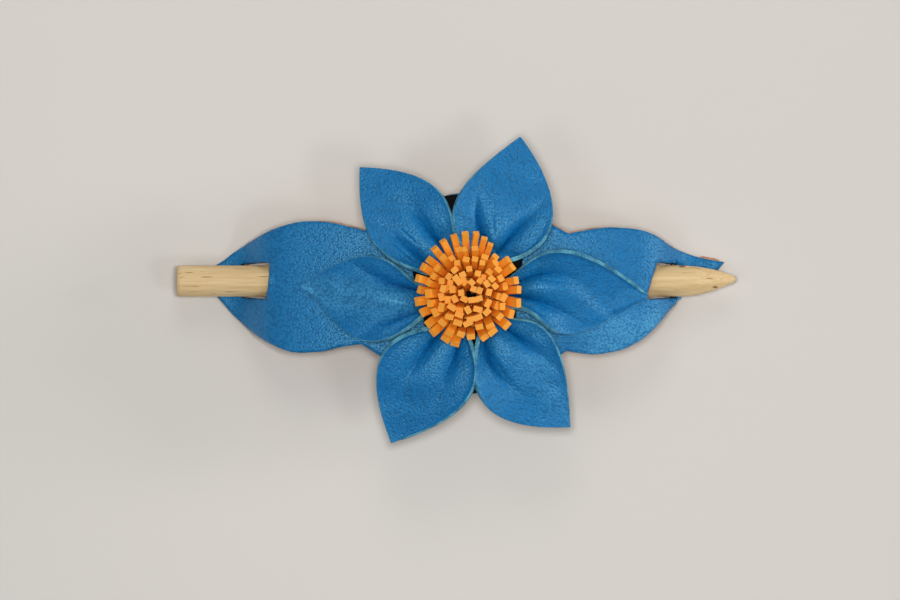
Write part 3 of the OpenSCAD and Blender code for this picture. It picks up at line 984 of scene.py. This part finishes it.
def build_stick():
    """A whittled stick: not quite round, sawn off square at one end and cut to a point at the other."""
    body_rings, point_rings, around = 150, 70, 56
    length = stick_high[0] - stick_low[0]
    point, run_up = 13.0, 2
    at = np.concatenate([
        np.linspace(0, length - point - run_up, body_rings, endpoint=False),
        length - (point + run_up) * (1 - np.linspace(0, 1, point_rings)),
    ])
    taper = np.interp((at - (length - point)) / point, *zip(*TAPER))
    chamfer = np.clip(at / 0.35, 0, 1) * 0.06 + 0.94
    turn = np.linspace(0, 2 * math.pi, around, endpoint=False)
    verts, uvs = [], []
    for i, x in enumerate(at):
        facets = 1 - 0.012 * (1 + np.cos(7 * turn + 0.015 * x))
        facets = facets - 0.006 * (1 + np.cos(4 * turn + 1 + 0.03 * x))
        cut = smooth(length - point, length - point + 4, x)
        facets = facets - 0.05 * cut * (1 + np.cos(5 * turn + 0.6)) / 2
        r = (stick_r - 0.02) * facets * taper[i] * chamfer[i]
        bend = 0.4 * smooth(length - point, length, x)
        verts.append(np.column_stack([
            np.full(around, stick_low[0] + x),
            stick_y + bend + r * np.cos(turn),
            stick_z + r * np.sin(turn),
        ]))
        uvs.append(np.column_stack([np.full(around, x), turn * stick_r]))
    verts, uvs = np.vstack(verts), np.vstack(uvs)
    faces = tube_faces(len(at), around)
    piece = make_object("wood_stick", verts, faces, uvs, [WOOD], [0] * len(faces))
    piece.data.polygons[len(faces) - 2].use_smooth = False
    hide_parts("stick")
    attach(piece, "stick")


# ---- Floor, lights and camera ----

def build_floor():
    """A plain pale sheet of paper."""
    m = Nodes("paper_floor")
    place = m.place()
    cloud = m.noise(place, 0.006, 3)
    fleck = m.noise(place, 0.5, 4)
    m.set(Base_Color=m.mix(cloud, FLOOR_DARK, FLOOR_LIGHT), Normal=m.bump(fleck, 0.05, 0.3))
    m.set(Roughness=0.95)
    mesh = bpy.data.meshes.new("floor")
    half = 1.5
    corners = [(-half, -half, 0), (half, -half, 0), (half, half, 0), (-half, half, 0)]
    mesh.from_pydata(corners, [], [(0, 1, 2, 3)])
    mesh.materials.append(m.material)
    floor = new_object("floor", mesh)


def area_light(name, place, size, power, colour):
    """A round lamp at a place in metres, aimed at the origin."""
    data = bpy.data.lights.new(name, "AREA")
    data.shape, data.size, data.energy, data.color = "DISK", size, power, colour
    light = new_object(name, data)
    light.location = place
    direction = -np.array(place)
    light.rotation_euler = (
        math.atan2(math.hypot(direction[0], direction[1]), -direction[2]),
        0,
        math.atan2(direction[1], direction[0]) - math.pi / 2,
    )


def build_light():
    """A small lamp above and a strong low one from the right that throws a long faint shadow. Weaker
    ones on the right, the left and the far side fill in, with a dim even light from all round."""
    area_light("above", (0.0, 0.01, 0.60), 0.09, 1.36, (1.0, 0.985, 0.96))
    area_light("right", (2.10, 0.32, 0.62), 0.50, 15.5, (1.0, 0.97, 0.93))
    area_light("glint", (0.52, -0.26, 0.88), 0.24, 0.9, (1.0, 1.0, 1.0))
    area_light("left", (-0.42, -0.20, 0.90), 0.34, 0.65, (0.90, 0.95, 1.0))
    area_light("upper", (-0.05, 0.60, 0.55), 0.40, 0.8, (1.0, 0.95, 0.88))
    world = bpy.data.worlds.new("studio")
    world.use_nodes = True
    background = world.node_tree.nodes["Background"]
    background.inputs["Color"].default_value = (1.0, 0.98, 0.95, 1)
    background.inputs["Strength"].default_value = 0.21
    bpy.context.scene.world = world


def build_camera():
    """Straight above, with a long lens, a little left of the flower and below it. The view is view_w
    wide at the height level."""
    data = bpy.data.cameras.new("camera")
    distance, view_w, level, left, down = 2500, 211.5, 10, 4.7, 1.6
    data.sensor_width = 36
    data.lens = data.sensor_width * distance / view_w
    camera = new_object("camera", data)
    camera.location = ((flower_x - left) * MM, (flower_y - down) * MM, (level + distance) * MM)
    bpy.context.scene.camera = camera


build_camera()
build_light()
build_floor()
build_slide()
build_backing()
build_petals()
build_fringe()
build_stick()
bpy.context.scene.view_settings.view_transform = "Standard"
